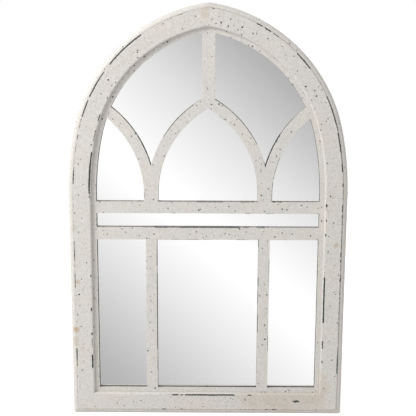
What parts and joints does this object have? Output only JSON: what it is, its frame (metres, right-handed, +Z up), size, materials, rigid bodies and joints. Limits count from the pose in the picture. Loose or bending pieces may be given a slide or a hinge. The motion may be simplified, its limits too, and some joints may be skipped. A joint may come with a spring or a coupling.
{
  "type": "arched window mirror",
  "caption": "Wall mirror shaped like a pointed church window: distressed white frame and tracery over mirror glass, hung on D-rings.",
  "frame": {"origin": "on the wall behind the mirror, midway between the two hooks that hold the raised D-rings", "axes": "+Z up, +Y into the wall, so the mirror faces -Y; +X to the right as one looks into the mirror"},
  "size_m": [0.61, 0.0274, 0.914],
  "materials": {
    "painted_wood": "off-white paint, rubbed through to a dark undercoat along the edges, speckled",
    "painted_board": "the same off-white distressed paint on flat cut board",
    "mirror_glass": "clear float glass, silvered on the back",
    "backing_board": "brown hardboard",
    "dowel_wood": "plain beech",
    "zinc_plate": "bright zinc plated pressed steel",
    "zinc_wire": "bright zinc plated steel wire",
    "zinc_screw": "zinc plated pan head screw",
    "rubber": "black rubber"
  },
  "bodies": {
    "frame": {"bottom_rail": "painted_wood", "stile_left": "painted_wood", "stile_right": "painted_wood", "arch_member_left": "painted_wood", "arch_member_right": "painted_wood", "fretwork": "painted_board", "mirror_glass": "mirror_glass", "backing_board": "backing_board", "mitre_dowel_outer_left": "dowel_wood", "mitre_dowel_outer_right": "dowel_wood", "mitre_dowel_inner_left": "dowel_wood", "mitre_dowel_inner_right": "dowel_wood", "springing_dowel_outer_left": "dowel_wood", "springing_dowel_outer_right": "dowel_wood", "springing_dowel_inner_left": "dowel_wood", "springing_dowel_inner_right": "dowel_wood", "apex_dowel_upper": "dowel_wood", "apex_dowel_lower": "dowel_wood", "turn_button_screw_bottom_left": "zinc_screw", "turn_button_screw_bottom_right": "zinc_screw", "turn_button_screw_lower_left": "zinc_screw", "turn_button_screw_lower_right": "zinc_screw", "turn_button_screw_upper_left": "zinc_screw", "turn_button_screw_upper_right": "zinc_screw", "turn_button_screw_arch_left": "zinc_screw", "turn_button_screw_arch_right": "zinc_screw", "hanger_strap_left": "zinc_plate", "hanger_screw_upper_left": "zinc_screw", "hanger_screw_lower_left": "zinc_screw", "hanger_strap_right": "zinc_plate", "hanger_screw_upper_right": "zinc_screw", "hanger_screw_lower_right": "zinc_screw", "wall_bumper_left": "rubber", "wall_bumper_right": "rubber"},
    "turn_button_bottom_left": {"turn_button_bottom_left": "zinc_plate"},
    "turn_button_bottom_right": {"turn_button_bottom_right": "zinc_plate"},
    "turn_button_lower_left": {"turn_button_lower_left": "zinc_plate"},
    "turn_button_lower_right": {"turn_button_lower_right": "zinc_plate"},
    "turn_button_upper_left": {"turn_button_upper_left": "zinc_plate"},
    "turn_button_upper_right": {"turn_button_upper_right": "zinc_plate"},
    "turn_button_arch_left": {"turn_button_arch_left": "zinc_plate"},
    "turn_button_arch_right": {"turn_button_arch_right": "zinc_plate"},
    "hanger_ring_left": {"hanger_ring_left": "zinc_wire"},
    "hanger_ring_right": {"hanger_ring_right": "zinc_wire"}
  },
  "joints": [
    {"name": "turn_button_bottom_left_turn", "type": "hinge", "parent": "frame", "child": "turn_button_bottom_left", "pos_m": [-0.15, -0.0056, -0.60987], "axis": [0, 1, 0], "continuous": true},
    {"name": "turn_button_bottom_right_turn", "type": "hinge", "parent": "frame", "child": "turn_button_bottom_right", "pos_m": [0.15, -0.0056, -0.60987], "axis": [0, 1, 0], "continuous": true},
    {"name": "turn_button_lower_left_turn", "type": "hinge", "parent": "frame", "child": "turn_button_lower_left", "pos_m": [-0.279, -0.0056, -0.48587], "axis": [0, 1, 0], "continuous": true},
    {"name": "turn_button_lower_right_turn", "type": "hinge", "parent": "frame", "child": "turn_button_lower_right", "pos_m": [0.279, -0.0056, -0.48587], "axis": [0, 1, 0], "continuous": true},
    {"name": "turn_button_upper_left_turn", "type": "hinge", "parent": "frame", "child": "turn_button_upper_left", "pos_m": [-0.279, -0.0056, -0.2358], "axis": [0, 1, 0], "continuous": true},
    {"name": "turn_button_upper_right_turn", "type": "hinge", "parent": "frame", "child": "turn_button_upper_right", "pos_m": [0.279, -0.0056, -0.2358], "axis": [0, 1, 0], "continuous": true},
    {"name": "turn_button_arch_left_turn", "type": "hinge", "parent": "frame", "child": "turn_button_arch_left", "pos_m": [-0.17411, -0.0056, 0.16597], "axis": [0, 1, 0], "continuous": true},
    {"name": "turn_button_arch_right_turn", "type": "hinge", "parent": "frame", "child": "turn_button_arch_right", "pos_m": [0.17411, -0.0056, 0.16597], "axis": [0, 1, 0], "continuous": true},
    {"name": "hanger_ring_left_swing", "type": "hinge", "parent": "frame", "child": "hanger_ring_left", "pos_m": [-0.27626, -0.0034, -0.0158], "axis": [1, 0, 0], "range_deg": [0, 176]},
    {"name": "hanger_ring_right_swing", "type": "hinge", "parent": "frame", "child": "hanger_ring_right", "pos_m": [0.27626, -0.0034, -0.0158], "axis": [1, 0, 0], "range_deg": [0, 176]}
  ]
}
